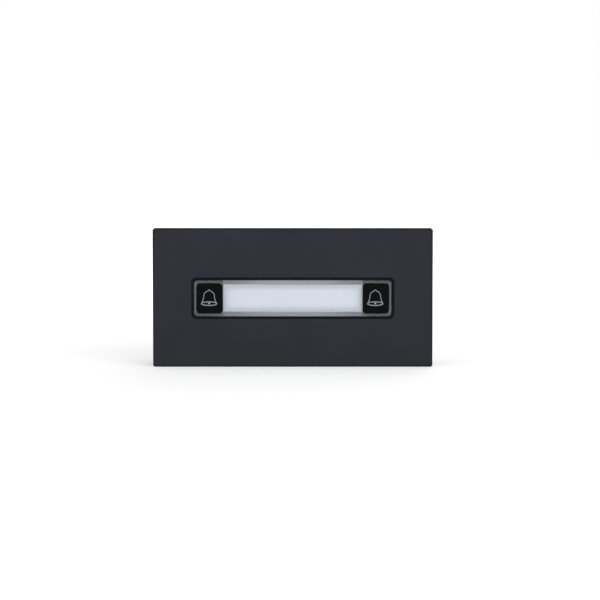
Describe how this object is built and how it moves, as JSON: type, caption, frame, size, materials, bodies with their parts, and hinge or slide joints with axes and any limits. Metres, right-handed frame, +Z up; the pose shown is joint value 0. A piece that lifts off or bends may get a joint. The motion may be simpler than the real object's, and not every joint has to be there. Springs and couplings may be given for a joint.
{
  "type": "intercom button module",
  "caption": "Door-station button module: a dark coated face plate with a backlit name strip between bell push keys, on a rear housing with bus sockets.",
  "frame": {"origin": "centre of the plane on which the rear edge of the face plate's rim seats in the door-station frame", "axes": "+X to the right seen from the front, +Z up, +Y into the wall, so the face looks along -Y"},
  "size_m": [0.114, 0.028, 0.0564],
  "materials": {
    "face_coat": "fine matt powder coat on cast aluminium",
    "seal_rubber": "matt black rubber",
    "clear_strip": "clear acrylic",
    "label_film": "printed film, lit from behind",
    "opal_plastic": "opal light-spreading plate",
    "clear_silicone": "grey silicone",
    "white_plastic": "white reflecting plastic",
    "key_plastic": "black satin plastic",
    "switch_plastic": "black heat-proof plastic",
    "plunger_plastic": "red-brown plunger plastic",
    "spring_steel": "stamped stainless sheet",
    "tinned_metal": "tinned copper",
    "board_mask": "green solder mask on glass laminate",
    "chip_resin": "moulded chip resin",
    "ferrite": "ferrite",
    "can_metal": "drawn can",
    "passive_ceramic": "ceramic",
    "socket_plastic": "off-white connector plastic",
    "housing_plastic": "black moulded plastic, fine texture",
    "screw_steel": "zinc-plated steel",
    "insert_brass": "machined brass"
  },
  "bodies": {
    "module": {"back_cover": "housing_plastic", "backlight_leds": "white_plastic", "board_screws": "screw_steel", "bus_in_pins": "tinned_metal", "bus_in_socket": "socket_plastic", "bus_out_pins": "tinned_metal", "bus_out_socket": "socket_plastic", "bus_transceiver": "chip_resin", "chip_leads": "tinned_metal", "chip_passives": "passive_ceramic", "circuit_board": "board_mask", "controller_chip": "chip_resin", "crystal": "can_metal", "front_plate": "face_coat", "housing_gasket": "seal_rubber", "housing_screws": "screw_steel", "input_capacitor": "can_metal", "label_diffuser": "opal_plastic", "lens_seal": "seal_rubber", "light_box": "white_plastic", "name_label": "label_film", "nameplate_lens": "clear_strip", "power_inductor": "ferrite", "rear_housing": "housing_plastic", "seal_membrane": "clear_silicone", "surge_diode": "chip_resin", "switch_base_left": "switch_plastic", "switch_base_right": "switch_plastic", "switch_cover_left": "spring_steel", "switch_cover_right": "spring_steel", "switch_dome_left": "spring_steel", "switch_dome_right": "spring_steel", "switch_terminals": "tinned_metal", "threaded_inserts": "insert_brass", "voltage_regulator": "chip_resin"},
    "left_key": {"key_cap_left": "key_plastic"},
    "right_key": {"key_cap_right": "key_plastic"},
    "left_plunger": {"switch_plunger_left": "plunger_plastic"},
    "right_plunger": {"switch_plunger_right": "plunger_plastic"}
  },
  "joints": [
    {"name": "left_key_press", "type": "slide", "parent": "module", "child": "left_key", "axis": [0, 1, 0], "range_m": [0, 0.0005], "stiffness_N_per_m": 2500, "springref_m": -0.0004, "deforming": ["switch_dome_left", "seal_membrane"]},
    {"name": "right_key_press", "type": "slide", "parent": "module", "child": "right_key", "axis": [0, 1, 0], "range_m": [0, 0.0005], "stiffness_N_per_m": 2500, "springref_m": -0.0004, "deforming": ["switch_dome_right", "seal_membrane"]},
    {"name": "left_plunger_press", "type": "slide", "parent": "module", "child": "left_plunger", "axis": [0, 1, 0], "range_m": [0, 0.0005]},
    {"name": "right_plunger_press", "type": "slide", "parent": "module", "child": "right_plunger", "axis": [0, 1, 0], "range_m": [0, 0.0005]}
  ],
  "couplings": [
    {"joint": "left_plunger_press", "follows": "left_key_press", "ratio": 1},
    {"joint": "right_plunger_press", "follows": "right_key_press", "ratio": 1}
  ]
}
